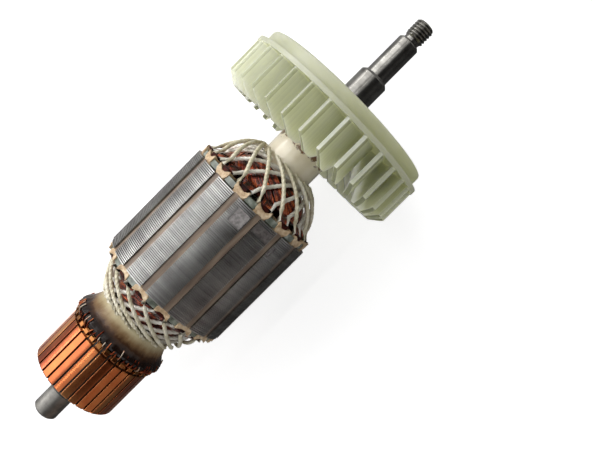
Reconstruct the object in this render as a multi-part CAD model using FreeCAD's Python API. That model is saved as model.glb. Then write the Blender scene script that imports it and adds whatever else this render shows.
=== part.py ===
import FreeCAD, Part
import math
import os

# Armature of a universal motor for a hand-held grinder: the wound rotor that turns as one piece.
# All sizes are in millimetres. The shaft lies on X: its threaded drive end points to +X and its
# commutator to -X. The origin is the middle of the drive-end bearing seat. Angles are measured
# about the shaft from +Z, in the sense that takes +Z towards -Y.

V = FreeCAD.Vector
X_AXIS = V(1, 0, 0)
ORIGIN = V(0, 0, 0)

# Shaft, from the drive end to the rear end
drive_seat_d = 12.0
drive_seat_length = 14.8
pinion_seat_d = 9.0
pinion_seat_length = 17.6
thread_relief_d = 6.4
thread_relief_length = 1.3
thread_d = 7.8
thread_length = 7.2
shaft_body_d = 12.6
commutator_seat_d = 11.0
rear_seat_d = 10.0
rear_seat_length = 12.2
seat_chamfer = 1.0
tip_chamfer = 0.8
centre_hole_d = 2.4
centre_hole_depth = 1.8

# Clearance of a piece that is pressed or glued on the one inside it
seat_gap = 0.02

# Laminated core
core_d = 54.0
core_length = 45.4
slot_count = 16
slot_mouth = 2.5
tooth_lip = 1.1
slot_shoulder_drop = 1.2
slot_top_width = 5.9
slot_bottom_width = 2.6
core_yoke_d = 29.2
core_bore_d = 16.0
balance_cut_depth = 0.55
balance_cuts = [
    # angle of the tooth, offset across it, width across it, distance from the drive end, length
    (0.0, 0.95, 5.3, 2.4, 5.8),
    (22.5, 0.0, 7.4, 1.9, 3.6),
    (45.0, -3.1, 1.9, 4.6, 4.0),
]

# Insulation of the core
end_insulator_t = 2.4
end_insulator_drop = 1.3
end_insulator_round = 1.2
finger_width = 4.8
finger_side_gap = 0.5
liner_t = 0.4
liner_gap = 0.06
cuff_drive = 3.8
cuff_rear = 3.0
wedge_t = 0.4
wedge_gap = 0.06

# Shaft insulation and the bush between the winding and the fan
bush_d = 21.0

# Winding heads: each is a dome from its shoulder at the core to its waist
head_shoulder_drop = 7.4
drive_head_length = 15.4
drive_head_bulge = 1.7
rear_head_length = 15.2
rear_waist_d = 26.4
rear_head_bulge = 0.5
head_span_count = 3
bundle_depth = 1.1
bundle_sweep = 34.0

# Lacing cord over the winding heads
cord_d = 1.8
cord_gap = 0.25
cord_side_count = 4
drive_cord_span_count = 4
rear_cord_span_count = 3
cord_over_start = 4.0
cord_under_start = 9.0

# Commutator
commutator_to_core = 24.5
bars_per_slot = 2
commutator_d = 36.4
bar_length = 20.6
bar_height = 4.7
hook_zone_length = 4.9
hook_root_drop = 1.0
hook_width = 1.6
hook_length = 2.5
hook_height = 1.75
hook_sink = 0.2
hook_notch = 0.7
hook_round = 0.5
separator_t = 0.7
separator_recess = 0.3
commutator_phase = -1.4
hub_boss_d = 33.2
hub_boss_length = 2.4
hub_boss_face_d = 24.8
collar_d = 15.6
collar_length = 3.0

# Resin over the leads between the hooks and the rear winding head
resin_crown_rise = 1.8
resin_crown_drop = 1.3
resin_lip = 1.6
resin_neck_wall = 2.9
resin_neck_length = 3.0
resin_sag = 0.5

# Fan
fan_step_length = 5.0
fan_step_d = 74.6
fan_step_wall = 2.6
fan_step_round = 1.0
fan_rim = 0.6
fan_disc_t = 1.7
fan_to_core = 42.9
fan_hub_d = 23.0
fan_hub_length = 12.9
blade_count = 30
wheel_facet_count = 60
blade_d = 78.4
blade_length = 17.5
blade_t = 1.7
blade_corner_axial = 3.6
blade_corner_radial = 4.8
blade_free_edge = 3.0
blade_root_d = 34.0
blade_mid_d = 58.0
blade_mid_sweep = 15.5
blade_root_sweep = 29.5
blade_phase = -7.7
blade_sink = 0.4
blade_span_count = 3
blade_foot_length = 2.6
blade_foot_rise = 0.5
blade_heel_length = 7.9
blade_heel_rise = 4.0

# Places along the shaft, worked out from the drive-end bearing seat
x_seat_front = drive_seat_length / 2
x_fan_face = -drive_seat_length / 2
x_step_rear = x_fan_face - fan_step_length
x_disc_rear = x_step_rear - fan_disc_t
x_blade_end = x_disc_rear - blade_length
x_hub_rear = x_disc_rear - fan_hub_length
x_core_front = x_disc_rear - fan_to_core
x_core_rear = x_core_front - core_length
x_drive_head = x_core_front + cuff_drive
x_drive_waist = x_core_front + drive_head_length
x_rear_head = x_core_rear - cuff_rear
x_rear_waist = x_core_rear - rear_head_length
x_commutator_front = x_core_rear - commutator_to_core
x_bar_front = x_commutator_front - hook_zone_length
x_bar_rear = x_bar_front - bar_length
x_boss_rear = x_bar_rear - hub_boss_length
x_collar_rear = x_boss_rear - collar_length
x_shaft_rear = x_collar_rear - rear_seat_length
x_pinion_end = x_seat_front + pinion_seat_length
x_thread_start = x_pinion_end + thread_relief_length
x_shaft_front = x_thread_start + thread_length

# Radii that several pieces share
core_r = core_d / 2
core_bore_r = core_bore_d / 2
yoke_r = core_yoke_d / 2
shaft_r = shaft_body_d / 2
sleeve_r = core_bore_r - seat_gap
bush_r = bush_d / 2
commutator_r = commutator_d / 2
commutator_bore_r = commutator_seat_d / 2 + seat_gap
bar_root_r = commutator_r - bar_height
bar_count = slot_count * bars_per_slot
slot_pitch = 360.0 / slot_count
bar_pitch = 360.0 / bar_count


def revolve(corners):
    """Turn a closed outline of (x, radius) corners about the shaft's axis."""
    points = [V(x, 0, r) for x, r in corners]
    face = Part.Face(Part.makePolygon(points + points[:1]))
    return face.revolve(ORIGIN, X_AXIS, 360)


def turned(shape, degrees):
    """Copy of a shape, turned about the shaft's axis."""
    copy = shape.copy()
    copy.rotate(ORIGIN, X_AXIS, degrees)
    return copy


def prism(section, x0, x1):
    """Solid from a closed section of (y, z) points, from x0 to x1."""
    points = [V(x0, y, z) for y, z in section]
    face = Part.Face(Part.makePolygon(points + points[:1]))
    return face.extrude(V(x1 - x0, 0, 0))


def ring(r_inner, r_outer, x0, x1):
    """Plain tube about the shaft's axis."""
    return revolve([(x0, r_inner), (x0, r_outer), (x1, r_outer), (x1, r_inner)])


def skin(loops):
    """Solid through loops of points that face each other, closed by a flat face at each end."""
    faces = [Part.Face(Part.makePolygon(end + end[:1])) for end in (loops[0], loops[-1])]
    for near, far in zip(loops, loops[1:]):
        for i in range(len(near)):
            j = (i + 1) % len(near)
            normal = (near[j] - near[i]).cross(far[i] - near[i]).normalize()
            if abs((far[j] - near[i]).dot(normal)) < 1e-6:
                corners = [[near[i], near[j], far[j], far[i], near[i]]]
            else:
                corners = [[near[i], near[j], far[j], near[i]], [near[i], far[j], far[i], near[i]]]
            faces += [Part.Face(Part.makePolygon(c)) for c in corners]
    solid = Part.Solid(Part.makeShell(faces))
    solid.fix(1e-4, 1e-4, 1e-4)
    if solid.Volume < 0:
        solid.reverse()
    return solid


def polar(radius, degrees):
    """Point (y, z) at a radius and an angle about the shaft."""
    a = math.radians(degrees)
    return (-radius * math.sin(a), radius * math.cos(a))


def loop_at(x, radius, angles):
    """Loop of points at one x and radius."""
    return [V(x, *polar(radius, a)) for a in angles]


def make_shaft():
    """Turned and ground steel shaft with a centre hole in each end."""
    rear_r = rear_seat_d / 2
    tip_r = thread_d / 2
    pinion_r = pinion_seat_d / 2
    seat_r = drive_seat_d / 2
    relief_r = thread_relief_d / 2
    half = centre_hole_d / 2
    return revolve([
        (x_shaft_rear + centre_hole_depth, 0),
        (x_shaft_rear, half),
        (x_shaft_rear, rear_r - seat_chamfer),
        (x_shaft_rear + seat_chamfer, rear_r),
        (x_collar_rear, rear_r),
        (x_collar_rear, commutator_seat_d / 2),
        (x_commutator_front, commutator_seat_d / 2),
        (x_commutator_front, shaft_r),
        (x_fan_face, shaft_r),
        (x_fan_face, seat_r),
        (x_seat_front - seat_chamfer, seat_r),
        (x_seat_front, seat_r - seat_chamfer),
        (x_seat_front, pinion_r),
        (x_pinion_end - tip_chamfer, pinion_r),
        (x_pinion_end, pinion_r - tip_chamfer),
        (x_pinion_end, relief_r),
        (x_thread_start, relief_r),
        (x_thread_start + (tip_r - relief_r), tip_r),
        (x_shaft_front - tip_chamfer, tip_r),
        (x_shaft_front, tip_r - tip_chamfer),
        (x_shaft_front, half),
        (x_shaft_front - centre_hole_depth, 0),
    ])


def slot_section(side_gap, top_r):
    """Outline of a slot at the top of the core, drawn in by side_gap, and cut off at top_r."""
    mouth = slot_mouth / 2 - side_gap
    top = slot_top_width / 2 - side_gap
    bottom = slot_bottom_width / 2 - side_gap
    shoulder_r = core_r - tooth_lip
    side_r = shoulder_r - slot_shoulder_drop
    base_r = yoke_r + side_gap
    half = [
        (mouth, top_r),
        (mouth, shoulder_r - side_gap),
        (top, side_r - side_gap),
        (bottom, base_r),
    ]
    return half + [(-y, z) for y, z in reversed(half)]


def slot_angles():
    """Angles of the slots: a tooth, and not a slot, stands at the top."""
    return [slot_pitch * (i + 0.5) for i in range(slot_count)]


def balance_cut(angle, offset, width, from_end, length):
    """Shallow flat pocket that the balancing mill leaves across a tooth."""
    box = Part.makeBox(length, width, 4 * balance_cut_depth)
    box.translate(V(x_core_front - from_end - length, -width / 2 - offset, core_r - balance_cut_depth))
    return turned(box, angle)


def make_core():
    """Stack of laminations with semi-closed slots and three balancing cuts."""
    blank = ring(core_bore_r, core_r, x_core_rear, x_core_front)
    slot = prism(slot_section(0.0, core_r + 1), x_core_rear - 1, x_core_front + 1)
    cuts = [turned(slot, a) for a in slot_angles()]
    cuts += [balance_cut(*cut) for cut in balance_cuts]
    return blank.cut(Part.makeCompound(cuts))


def inner_hole(x0, x1):
    """Hole with a flat for each tooth, which clears the sleeve on the shaft."""
    corner_r = core_bore_r / math.cos(math.radians(slot_pitch / 2))
    return prism([polar(corner_r, a) for a in slot_angles()], x0, x1)


def make_end_insulator(x_face, side):
    """Insulating disc on an end of the core, with a flat-topped finger over each tooth."""
    r_out = core_r - end_insulator_drop
    x_free = x_face + side * end_insulator_t
    stations = [
        (x_face, r_out),
        (x_free - side * end_insulator_round, r_out),
        (x_free, r_out - end_insulator_round),
    ]
    flat_to_corner = 1 / math.cos(math.radians(slot_pitch / 2))
    blank = skin([loop_at(x, r * flat_to_corner, slot_angles()) for x, r in stations])
    gap = prism(finger_gap_section(r_out), x_face - side, x_free + side)
    cuts = [turned(gap, a) for a in slot_angles()]
    cuts.append(inner_hole(x_face - side, x_free + side))
    return blank.cut(Part.makeCompound(cuts))


def finger_gap_section(r_out):
    """Outline between two fingers of an end insulator, with room for the cuff of the slot liner."""
    half_pitch = math.radians(slot_pitch / 2)
    edge_y = r_out * math.sin(half_pitch) - finger_width / 2 * math.cos(half_pitch)
    edge_z = r_out * math.cos(half_pitch) + finger_width / 2 * math.sin(half_pitch)
    side_r = core_r - tooth_lip - slot_shoulder_drop
    half = [
        (edge_y, core_r + 1),
        (edge_y, edge_z),
        (slot_top_width / 2 + finger_side_gap, side_r),
        (slot_bottom_width / 2 + finger_side_gap, yoke_r - finger_side_gap),
    ]
    return half + [(-y, z) for y, z in reversed(half)]


def liner_top_r():
    """Radius of the closed top of a slot liner, under the wedge."""
    return core_r - tooth_lip - liner_gap


def make_slot_liners():
    """Folded paper liner in each slot, which shows as a cuff at both ends of the core."""
    x0 = x_core_rear - cuff_rear
    x1 = x_core_front + cuff_drive
    outer = prism(slot_section(liner_gap, liner_top_r()), x0, x1)
    inner = prism(coil_section(liner_gap + liner_t), x0 - 1, x1 + 1)
    liner = outer.cut(inner)
    return Part.makeCompound([turned(liner, a) for a in slot_angles()])


def coil_section(side_gap):
    """Inside of a liner, or the coil side within it: a slot outline with no mouth."""
    top = slot_top_width / 2 - side_gap
    bottom = slot_bottom_width / 2 - side_gap
    side_r = core_r - tooth_lip - slot_shoulder_drop - side_gap
    base_r = yoke_r + side_gap
    half = [
        (slot_mouth / 2, core_r - tooth_lip - side_gap),
        (top, side_r),
        (bottom, base_r),
    ]
    return half + [(-y, z) for y, z in reversed(half)]


def make_coil_sides():
    """Wire bundle in each liner, from one winding head to the other."""
    gap = 2 * liner_gap + liner_t
    side = prism(coil_section(gap), x_rear_head, x_drive_head)
    return Part.makeCompound([turned(side, a) for a in slot_angles()])


def make_slot_wedges():
    """Closing strip in each slot mouth, on top of the liner."""
    half = slot_mouth / 2 - wedge_gap
    base = liner_top_r()
    section = [(-half, base), (half, base), (half, base + wedge_t), (-half, base + wedge_t)]
    strip = prism(section, x_core_rear, x_core_front)
    return Part.makeCompound([turned(strip, a) for a in slot_angles()])


def make_shaft_sleeve():
    """Insulating tube between the shaft and all that is wound or pressed on it."""
    return ring(shaft_r + seat_gap, sleeve_r, x_commutator_front, x_hub_rear)


def make_bush():
    """Pale insulating bush between the drive-end winding head and the fan's hub."""
    return ring(sleeve_r + seat_gap, bush_r, x_drive_waist, x_hub_rear)


def head_arc(x_shoulder, x_waist, waist_r, bulge):
    """Start, middle and end of the curved outline of a winding head."""
    start = (x_shoulder, core_r - head_shoulder_drop)
    end = (x_waist, waist_r)
    dx = end[0] - start[0]
    dr = end[1] - start[1]
    length = math.hypot(dx, dr)
    side = 1 if dx > 0 else -1
    mid = (
        (start[0] + end[0]) / 2 - side * bulge * dr / length,
        (start[1] + end[1]) / 2 + side * bulge * dx / length,
    )
    return start, mid, end


drive_head_arc = head_arc(x_drive_head, x_drive_waist, bush_r, drive_head_bulge)
rear_head_arc = head_arc(x_rear_head, x_rear_waist, rear_waist_d / 2, rear_head_bulge)


def make_winding_head(outline, lean):
    """Mass of coil ends under the lacing: a ridge from each slot, wound askew round the shaft."""
    loops = []
    for i, (x, r) in enumerate(raised_outline(outline, 0.0, head_span_count)):
        share = i / head_span_count
        angles = [a + lean * bundle_sweep * share for a in slot_angles()]
        ridges = loop_at(x, r, angles)
        valleys = loop_at(x, r - bundle_depth * (1 - share), [a + slot_pitch / 2 for a in angles])
        loops.append([p for pair in zip(ridges, valleys) for p in pair])
    x_ends = (outline[0][0], outline[2][0])
    return skin(loops).cut(inner_hole(min(x_ends) - 1, max(x_ends) + 1))


def raised_outline(outline, height, steps=120):
    """Points of a head's outline, raised by a height, from the shoulder to the waist."""
    (x0, r0), (xm, rm), (x1, r1) = outline
    ax, ar, bx, br = xm - x0, rm - r0, x1 - x0, r1 - r0
    d = 2 * (ax * br - ar * bx)
    a2 = ax * ax + ar * ar
    b2 = bx * bx + br * br
    cx = x0 + (br * a2 - ar * b2) / d
    cr = r0 + (ax * b2 - bx * a2) / d
    radius = math.hypot(x0 - cx, r0 - cr) + height
    start = math.atan2(r0 - cr, x0 - cx)
    end = math.atan2(r1 - cr, x1 - cx)
    angles = [start + (end - start) * i / steps for i in range(steps + 1)]
    return [(cx + radius * math.cos(a), cr + radius * math.sin(a)) for a in angles]


def waist_constant(radius):
    """Radius times the cosine of the cord's slope, with the strands side by side at the waist."""
    strand_room = slot_count * (cord_d + cord_gap / 2) / (2 * math.pi)
    return math.sqrt(radius * radius - strand_room * strand_room)


def cord_route(outline, height, spans, r_limit, x_limit):
    """Shortest line over a head from its shoulder to its waist, as (x, radius, turn) points.

    The line starts clear of the cuffs, and ends before the smallest radius or the furthest x.
    """
    clear = cord_d / 2 + cord_gap
    near = abs(outline[0][0] - x_limit)
    points = []
    for x, r in raised_outline(outline, height):
        if r >= r_limit and clear <= abs(x - outline[0][0]) <= near:
            points.append((x, r))
    c = waist_constant(points[-1][1])
    travelled = [0.0]
    turn = [0.0]
    for (xa, ra), (xb, rb) in zip(points, points[1:]):
        r = (ra + rb) / 2
        step = math.hypot(xb - xa, rb - ra)
        rise = math.sqrt(r * r - c * c)
        travelled.append(travelled[-1] + step * r / rise)
        turn.append(turn[-1] + math.degrees(c * step / (r * rise)))
    route = []
    for i in range(spans + 1):
        target = travelled[-1] * i / spans
        k = min(range(len(points)), key=lambda j: abs(travelled[j] - target))
        route.append((points[k][0], points[k][1], turn[k]))
    return route


def route_points(route, start_angle, lean):
    """Places of one strand's bends, starting at an angle and leaning one way round the shaft."""
    places = []
    for x, r, turn in route:
        y, z = polar(r, start_angle + lean * turn)
        places.append(V(x, y, z))
    return places


def mitred_cord(points):
    """Faceted cord along straight runs, mitred where they meet."""
    runs = [(q - p).normalize() for p, q in zip(points, points[1:])]
    side = runs[0].cross(X_AXIS).normalize()
    up = runs[0].cross(side).normalize()
    loop = []
    for i in range(cord_side_count):
        a = 2 * math.pi * i / cord_side_count
        loop.append(points[0] + side * (cord_d / 2 * math.cos(a)) + up * (cord_d / 2 * math.sin(a)))
    loops = [loop]
    for i, run in enumerate(runs):
        last = i == len(runs) - 1
        normal = run if last else (run + runs[i + 1]).normalize()
        corner = points[i + 1]
        loop = [p + run * ((corner - p).dot(normal) / run.dot(normal)) for p in loop]
        loops.append(loop)
    return skin(loops)


def make_lacing(outline, level, lean, spans, r_limit, x_limit):
    """One layer of lacing strands, a strand for each tooth, leaning one way round the shaft."""
    height = cord_gap + cord_d / 2 + level * (cord_d + cord_gap)
    route = cord_route(outline, height, spans, r_limit, x_limit)
    beside_finger = cord_over_start if level else cord_under_start
    strands = []
    for i in range(slot_count):
        start_angle = slot_pitch * i - lean * beside_finger
        strands.append(mitred_cord(route_points(route, start_angle, lean)))
    return Part.makeCompound(strands)


def separator_angle(radius):
    """Angle that half a separator takes up at a radius."""
    return math.degrees(math.asin(separator_t / 2 / radius))


def bar_half_root():
    """Half the width of a bar's flat root, between the sides of two separators."""
    half = math.radians(bar_pitch / 2)
    return bar_root_r * math.tan(half) - separator_t / 2 / math.cos(half)


def bar_section(r_outer):
    """Four corners of a bar's section, as (y, z): its flat root, then its outer face."""
    root = bar_half_root()
    angle = bar_pitch / 2 - separator_angle(r_outer)
    return [(-root, bar_root_r), (root, bar_root_r), polar(r_outer, -angle), polar(r_outer, angle)]


def make_bar():
    """One copper bar with the hook that takes its coil leads."""
    corners = [V(x_bar_rear, y, z) for y, z in bar_section(commutator_r)]
    crown = V(x_bar_rear, 0, commutator_r)
    edges = [
        Part.LineSegment(corners[0], corners[1]).toShape(),
        Part.LineSegment(corners[1], corners[2]).toShape(),
        Part.Arc(corners[2], crown, corners[3]).toShape(),
        Part.LineSegment(corners[3], corners[0]).toShape(),
    ]
    body = Part.Face(Part.Wire(edges)).extrude(V(bar_length, 0, 0))
    root = prism(bar_section(commutator_r - hook_root_drop), x_bar_front, x_commutator_front)
    hook_x = x_bar_front + hook_notch
    base = commutator_r - hook_root_drop - hook_sink
    top = base + hook_sink + hook_height
    profile = [
        V(hook_x, -hook_width / 2, base),
        V(hook_x, -hook_width / 2, top - hook_round),
        V(hook_x + hook_round, -hook_width / 2, top),
        V(hook_x + hook_length - hook_round, -hook_width / 2, top),
        V(hook_x + hook_length, -hook_width / 2, top - hook_round),
        V(hook_x + hook_length, -hook_width / 2, base),
    ]
    hook = Part.Face(Part.makePolygon(profile + profile[:1])).extrude(V(0, hook_width, 0))
    return body.fuse(root).fuse(hook).removeSplitter()


def separator_section(top):
    """Outline of the moulding under the bars: a flat for each bar, a rib between each two."""
    root = bar_half_root()
    root_r = math.hypot(root, bar_root_r)
    root_angle = math.degrees(math.atan2(root, bar_root_r))
    rib_r = math.hypot(separator_t / 2, top)
    rib_angle = math.degrees(math.atan2(separator_t / 2, top))
    section = []
    for i in range(bar_count):
        rib = commutator_phase + bar_pitch * i
        bar = rib + bar_pitch / 2
        section.append(polar(rib_r, rib - rib_angle))
        section.append(polar(rib_r, rib + rib_angle))
        section.append(polar(root_r, bar - root_angle))
        section.append(polar(root_r, bar + root_angle))
    return section


def make_commutator_moulding():
    """Phenolic body that holds the bars, with a thin separator between each two.

    The separators end below the roots of the hooks, so that the bars stand proud for the brushes.
    """
    top = commutator_r - hook_root_drop - separator_recess
    separators = [commutator_phase + bar_pitch * i for i in range(bar_count)]
    boss = skin([
        loop_at(x_boss_rear, hub_boss_face_d / 2, separators),
        loop_at(x_bar_rear, hub_boss_d / 2, separators),
    ])
    under_bars = prism(separator_section(top), x_bar_rear, x_commutator_front)
    bore = revolve([
        (x_boss_rear - 1, 0),
        (x_boss_rear - 1, commutator_bore_r),
        (x_commutator_front + 1, commutator_bore_r),
        (x_commutator_front + 1, 0),
    ])
    return boss.fuse(under_bars).cut(bore).removeSplitter()


def make_collar():
    """Insulating collar behind the commutator."""
    return ring(commutator_bore_r, collar_d / 2, x_collar_rear, x_boss_rear)


def make_resin():
    """Varnish and resin cast over the leads, from the hooks to the lacing, a facet for each lead."""
    crown_r = commutator_r + resin_crown_rise
    neck_r = rear_waist_d / 2 + resin_neck_wall
    x_lip = x_commutator_front - resin_lip
    x_neck = x_rear_waist - resin_neck_length
    x_slope = (x_commutator_front + x_neck) / 2
    stations = [
        (x_lip, crown_r - resin_crown_drop),
        (x_commutator_front, crown_r),
        (x_slope, (crown_r + neck_r) / 2 - resin_sag),
        (x_neck, neck_r),
        (x_rear_waist, neck_r),
    ]
    leads = [commutator_phase + bar_pitch * i for i in range(bar_count)]
    outer = skin([loop_at(x, r, leads) for x, r in stations])
    flat_to_corner = 1 / math.cos(math.radians(bar_pitch / 2))
    seat_r = (commutator_r - hook_root_drop + seat_gap) * flat_to_corner
    seat = prism([polar(seat_r, a) for a in leads], x_lip - 1, x_commutator_front)
    return outer.cut(Part.makeCompound([seat, inner_hole(x_lip - 1, x_rear_waist + 1)]))


def make_blade():
    """One curved fan blade, with its tip at the top and its root swept round the shaft."""
    x_foot = x_disc_rear + blade_sink
    tip_r = blade_d / 2
    root_r = blade_root_d / 2
    tip = V(x_foot, *polar(tip_r + 1, 0))
    mid = V(x_foot, *polar(blade_mid_d / 2, blade_mid_sweep))
    root = V(x_foot, *polar(root_r, blade_root_sweep))
    camber = Part.Arc(tip, mid, root).toShape()
    centre = camber.Curve.Center
    sides = [[], []]
    for p in camber.discretize(Number=blade_span_count + 1):
        outward = (p - centre).normalize() * (blade_t / 2)
        sides[0].append(p - outward)
        sides[1].append(p + outward)
    section = [(p.y, p.z) for p in sides[0] + sides[1][::-1]]
    strip = prism(section, x_foot, x_blade_end)
    z_root = polar(root_r, blade_root_sweep)[1]
    z_corner = tip_r - blade_corner_radial
    profile = [
        (x_foot, z_root - blade_t),
        (x_foot, tip_r),
        (x_blade_end + blade_corner_axial, tip_r),
        (x_blade_end, z_corner),
        (x_blade_end, z_corner - blade_free_edge),
        (x_disc_rear - blade_heel_length, z_root + blade_heel_rise),
        (x_disc_rear - blade_foot_length, z_root + blade_foot_rise),
        (x_disc_rear - blade_foot_length, z_root - blade_t),
    ]
    points = [V(x, -blade_d, z) for x, z in profile]
    envelope = Part.Face(Part.makePolygon(points + points[:1])).extrude(V(0, 2 * blade_d, 0))
    return strip.common(envelope)


def make_fan():
    """Moulded fan: hub, disc with a stepped rim, and curved blades on the core side."""
    hub_r = fan_hub_d / 2
    flange_r = blade_d / 2 + fan_rim
    step_r = fan_step_d / 2
    cup_r = step_r - fan_step_wall
    pitch = 360.0 / blade_count
    rim = [blade_phase + 360.0 / wheel_facet_count * i for i in range(wheel_facet_count)]
    outside = [
        (x_hub_rear, hub_r),
        (x_disc_rear, hub_r),
        (x_disc_rear, flange_r),
        (x_step_rear, flange_r),
        (x_step_rear, step_r),
        (x_fan_face - fan_step_round, step_r),
        (x_fan_face, step_r - fan_step_round),
    ]
    wheel = skin([loop_at(x, r, rim) for x, r in outside])
    cup = prism([polar(cup_r, a) for a in rim], x_step_rear, x_fan_face)
    cup = cup.cut(prism([polar(hub_r, a) for a in rim], x_step_rear, x_fan_face))
    bore = revolve([
        (x_hub_rear - 1, 0),
        (x_hub_rear - 1, shaft_r + seat_gap),
        (x_fan_face + 1, shaft_r + seat_gap),
        (x_fan_face + 1, 0),
    ])
    blade = make_blade()
    blades = [turned(blade, blade_phase + pitch * i) for i in range(blade_count)]
    return wheel.cut(Part.makeCompound([cup, bore])).multiFuse(blades).removeSplitter()


def drive_lacing(level, lean):
    """Lacing layer on the drive-end head."""
    limit = bush_r + cord_d / 2 + cord_gap / 2
    return make_lacing(drive_head_arc, level, lean, drive_cord_span_count, limit, x_fan_face)


def rear_lacing(level, lean):
    """Lacing layer on the rear head, which stops short of the resin."""
    limit = x_rear_waist + cord_d / 2 + cord_gap / 2
    return make_lacing(rear_head_arc, level, lean, rear_cord_span_count, 0, limit)


def all_pieces():
    """Every piece of the armature, by name."""
    pieces = {
        "shaft": make_shaft(),
        "shaft_sleeve": make_shaft_sleeve(),
        "lamination_stack": make_core(),
        "end_insulator_drive": make_end_insulator(x_core_front, 1),
        "end_insulator_rear": make_end_insulator(x_core_rear, -1),
        "slot_liners": make_slot_liners(),
        "slot_wedges": make_slot_wedges(),
        "coil_sides": make_coil_sides(),
        "winding_head_drive": make_winding_head(drive_head_arc, 1),
        "winding_head_rear": make_winding_head(rear_head_arc, -1),
        "lacing_drive_under": drive_lacing(0, 1),
        "lacing_drive_over": drive_lacing(1, -1),
        "lacing_rear_under": rear_lacing(0, -1),
        "lacing_rear_over": rear_lacing(1, 1),
        "lead_resin": make_resin(),
        "commutator_moulding": make_commutator_moulding(),
        "rear_collar": make_collar(),
        "drive_bush": make_bush(),
        "fan": make_fan(),
    }
    bar = make_bar()
    for i in range(bar_count):
        angle = commutator_phase + bar_pitch * (i + 0.5)
        pieces["commutator_bar_%02d" % (i + 1)] = turned(bar, angle)
    return pieces


def main():
    os.makedirs("parts", exist_ok=True)
    for name, shape in all_pieces().items():
        shape.exportStep("parts/%s.step" % name)
        print(name, "solids", len(shape.Solids), "volume %.1f" % shape.Volume, "valid", shape.isValid())


main()
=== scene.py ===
# %% [markdown]
# # A power tool armature, dressed for its portrait
# The object is the rotor of an angle grinder's motor. It is a steel shaft that carries a fan, a
# laminated core with its winding, and a commutator. The CAD model gives every size and place, and
# this notebook adds what a camera sees: sheet edges, wires, twisted cord, resin and worn copper.
# All lengths are in metres, and the shaft lies on X.

# %% Load the CAD model as a fixed frame
import math
import random

import bmesh
import bpy
from mathutils import Matrix, Vector


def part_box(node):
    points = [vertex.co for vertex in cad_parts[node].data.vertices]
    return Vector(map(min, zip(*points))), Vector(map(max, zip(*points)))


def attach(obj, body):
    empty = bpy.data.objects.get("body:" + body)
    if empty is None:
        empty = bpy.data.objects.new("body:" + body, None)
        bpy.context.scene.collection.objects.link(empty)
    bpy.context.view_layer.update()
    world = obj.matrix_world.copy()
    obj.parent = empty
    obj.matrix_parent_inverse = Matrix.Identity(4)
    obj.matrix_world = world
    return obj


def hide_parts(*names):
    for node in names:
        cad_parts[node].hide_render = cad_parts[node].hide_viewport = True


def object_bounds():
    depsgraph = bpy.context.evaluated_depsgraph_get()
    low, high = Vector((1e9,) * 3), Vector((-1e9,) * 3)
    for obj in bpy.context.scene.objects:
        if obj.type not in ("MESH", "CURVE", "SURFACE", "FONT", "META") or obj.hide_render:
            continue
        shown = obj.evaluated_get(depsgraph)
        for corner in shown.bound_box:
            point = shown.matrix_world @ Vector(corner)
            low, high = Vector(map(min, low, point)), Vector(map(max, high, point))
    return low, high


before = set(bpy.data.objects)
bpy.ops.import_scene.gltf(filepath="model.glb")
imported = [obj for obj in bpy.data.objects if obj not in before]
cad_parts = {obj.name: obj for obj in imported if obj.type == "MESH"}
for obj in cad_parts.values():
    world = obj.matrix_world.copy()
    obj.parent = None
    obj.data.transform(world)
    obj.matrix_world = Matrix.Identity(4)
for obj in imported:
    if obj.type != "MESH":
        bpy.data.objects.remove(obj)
cad_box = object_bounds()
mm = 0.001
tau = 2 * math.pi
print("CAD nodes:", len(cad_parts))

# %% [markdown]
# Nothing is measured twice. A node's box gives where it starts and ends along the shaft, and how
# far it reaches from it, so one small function turns a box into those three numbers.

# %% Read places from the frame
def extent(node):
    """Lowest x, highest x and outer radius of a CAD node that is round about the shaft."""
    low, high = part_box(node)
    return low[0], high[0], high[2]


core_x0, core_x1, core_r = extent("lamination_stack")
shaft_x0, shaft_x1, body_r = extent("shaft")
bush_x1, bush_r = extent("drive_bush")[1:]
collar_x0 = extent("rear_collar")[0]
moulding_x1 = extent("commutator_moulding")[1]
bar_x0, bar_x1 = extent("commutator_bar_01")[:2]
resin_x0, resin_x1, crown_r = extent("lead_resin")
fan_x1, fan_r = extent("fan")[1:]
slot_count = 16
bar_count = 32
blade_count = 30
slot_pitch = tau / slot_count
bar_pitch = tau / bar_count
first_bar = math.radians(-1.4) + bar_pitch / 2
print("Core: %.1f mm long, %.1f mm in diameter" % ((core_x1 - core_x0) / mm, 2 * core_r / mm))

# %% [markdown]
# Most pieces stand round the shaft, so points are written as x, a radius and an angle. The angle
# starts at the top, like the CAD model's, and runs towards -Y.

# %% Points round the shaft
def around(x, radius, angle):
    """Point at a place along the shaft, a radius and an angle from the top."""
    return Vector((x, -radius * math.sin(angle), radius * math.cos(angle)))


def turned(angle):
    """Turn about the shaft, for pieces that are laid out at the top first."""
    return Matrix.Rotation(angle, 3, "X")


# %% [markdown]
# A mesh starts as lists of points and faces. Blender needs all faces to point outwards, so every
# new mesh has its normals worked out again, and the object stays at the origin with its place in
# its points.

# %% Meshes from points and faces
def linked(name, data):
    """New object in the scene, for some data."""
    new = bpy.data.objects.new(name, data)
    bpy.context.collection.objects.link(new)
    return new


def mesh_object(name, points, faces, smooth_below=None):
    """New object at the origin. Edges sharper than smooth_below, in degrees, stay sharp."""
    mesh = bpy.data.meshes.new(name)
    mesh.from_pydata([tuple(p) for p in points], [], faces)
    sheet = bmesh.new()
    sheet.from_mesh(mesh)
    bmesh.ops.remove_doubles(sheet, verts=sheet.verts, dist=1e-7)
    bmesh.ops.recalc_face_normals(sheet, faces=sheet.faces)
    sheet.to_mesh(mesh)
    sheet.free()
    if smooth_below is not None:
        mesh.shade_smooth()
        mesh.set_sharp_from_angle(angle=math.radians(smooth_below))
    return linked(name, mesh)


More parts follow.
